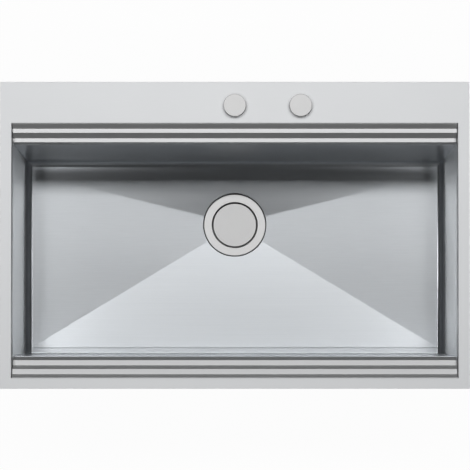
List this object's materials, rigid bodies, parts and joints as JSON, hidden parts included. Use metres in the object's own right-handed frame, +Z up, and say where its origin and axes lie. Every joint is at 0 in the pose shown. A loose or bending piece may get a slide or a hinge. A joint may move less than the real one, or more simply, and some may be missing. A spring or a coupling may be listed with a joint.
{
  "type": "inset kitchen sink",
  "caption": "Rectangular steel inset kitchen sink with stepped ledges along both long sides, a tap deck with waste knob, a basket strainer and swing-out fixing clips.",
  "frame": {"origin": "centre of the rim, in the plane of the worktop that the rim gasket rests on", "axes": "+X right along the long side, +Y back to the tap deck, +Z up out of the bowl"},
  "size_m": [0.78, 0.51, 0.3157],
  "materials": {
    "rim_satin": "satin",
    "bowl_brushed": "brushed along the bowl",
    "turned_steel": "circular brushed",
    "plain_steel": "mill finish",
    "zinc_steel": "zinc plated",
    "brass": "turned",
    "black_plastic": "moulded",
    "black_rubber": "matte",
    "damping_pad": "matte"
  },
  "bodies": {
    "sink": {"deck_plate": "rim_satin", "bowl_tub": "bowl_brushed", "front_ledge_riser": "bowl_brushed", "front_ledge_upper_tread": "bowl_brushed", "front_ledge_lower_tread": "bowl_brushed", "rear_ledge_riser": "bowl_brushed", "rear_ledge_upper_tread": "bowl_brushed", "rear_ledge_lower_tread": "bowl_brushed", "tap_hole_cover": "turned_steel", "strainer_flange": "turned_steel", "rear_stiffener": "plain_steel", "earth_tag": "plain_steel", "centre_bolt": "plain_steel", "clip_brackets": "zinc_steel", "clip_screws": "zinc_steel", "tap_cover_bridge": "zinc_steel", "tap_cover_wing_nut": "zinc_steel", "knob_bushing_washer": "zinc_steel", "knob_bushing": "brass", "knob_bushing_nut": "brass", "knob_cable_gland": "brass", "waste_cable_gland": "brass", "waste_body": "black_plastic", "drum_housing": "black_plastic", "drum_housing_lid": "black_plastic", "rim_gasket": "black_rubber", "tap_cover_seal": "black_rubber", "knob_bushing_seal": "black_rubber", "flange_gasket": "black_rubber", "body_gasket": "black_rubber", "side_damping_pads": "damping_pad", "floor_damping_pads": "damping_pad"},
    "knob": {"waste_knob": "turned_steel", "knob_grub_screw": "plain_steel", "knob_spindle": "plain_steel", "cable_drum": "black_plastic"},
    "pin": {"lift_pin": "plain_steel"},
    "basket": {"strainer_basket": "plain_steel", "basket_seal": "black_rubber"},
    "cover": {"drain_cover_plate": "turned_steel"},
    "jaw_1": {"clip_jaw_1": "zinc_steel"},
    "jaw_2": {"clip_jaw_2": "zinc_steel"},
    "jaw_3": {"clip_jaw_3": "zinc_steel"},
    "jaw_4": {"clip_jaw_4": "zinc_steel"},
    "jaw_5": {"clip_jaw_5": "zinc_steel"},
    "jaw_6": {"clip_jaw_6": "zinc_steel"},
    "jaw_7": {"clip_jaw_7": "zinc_steel"},
    "jaw_8": {"clip_jaw_8": "zinc_steel"}
  },
  "joints": [
    {"name": "knob_turn", "type": "hinge", "parent": "sink", "child": "knob", "pos_m": [0.1094, 0.215, 0.004], "axis": [0, 0, -1], "range_deg": [0, 90]},
    {"name": "pin_lift", "type": "slide", "parent": "sink", "child": "pin", "axis": [0, 0, 1], "range_m": [0, 0.009]},
    {"name": "basket_out", "type": "slide", "parent": "pin", "child": "basket", "axis": [0, 0, 1], "range_m": [0, 0.26]},
    {"name": "cover_off", "type": "slide", "parent": "basket", "child": "cover", "axis": [0, 0, 1], "range_m": [0, 0.24]},
    {"name": "clip_1_turn", "type": "hinge", "parent": "sink", "child": "jaw_1", "pos_m": [-0.25, -0.2417, -0.0002], "axis": [0, 0, 1], "range_deg": [0, 90]},
    {"name": "clip_2_turn", "type": "hinge", "parent": "sink", "child": "jaw_2", "pos_m": [0.25, -0.2417, -0.0002], "axis": [0, 0, 1], "range_deg": [0, 90]},
    {"name": "clip_3_turn", "type": "hinge", "parent": "sink", "child": "jaw_3", "pos_m": [-0.25, 0.2417, -0.0002], "axis": [0, 0, 1], "range_deg": [0, 90]},
    {"name": "clip_4_turn", "type": "hinge", "parent": "sink", "child": "jaw_4", "pos_m": [0.25, 0.2417, -0.0002], "axis": [0, 0, 1], "range_deg": [0, 90]},
    {"name": "clip_5_turn", "type": "hinge", "parent": "sink", "child": "jaw_5", "pos_m": [-0.3757, -0.15, -0.0002], "axis": [0, 0, 1], "range_deg": [0, 90]},
    {"name": "clip_6_turn", "type": "hinge", "parent": "sink", "child": "jaw_6", "pos_m": [-0.3757, 0.099, -0.0002], "axis": [0, 0, 1], "range_deg": [0, 90]},
    {"name": "clip_7_turn", "type": "hinge", "parent": "sink", "child": "jaw_7", "pos_m": [0.3757, -0.15, -0.0002], "axis": [0, 0, 1], "range_deg": [0, 90]},
    {"name": "clip_8_turn", "type": "hinge", "parent": "sink", "child": "jaw_8", "pos_m": [0.3757, 0.099, -0.0002], "axis": [0, 0, 1], "range_deg": [0, 90]}
  ],
  "couplings": [
    {"joint": "pin_lift", "follows": "knob_turn", "m_per_rad": 0.005729}
  ]
}
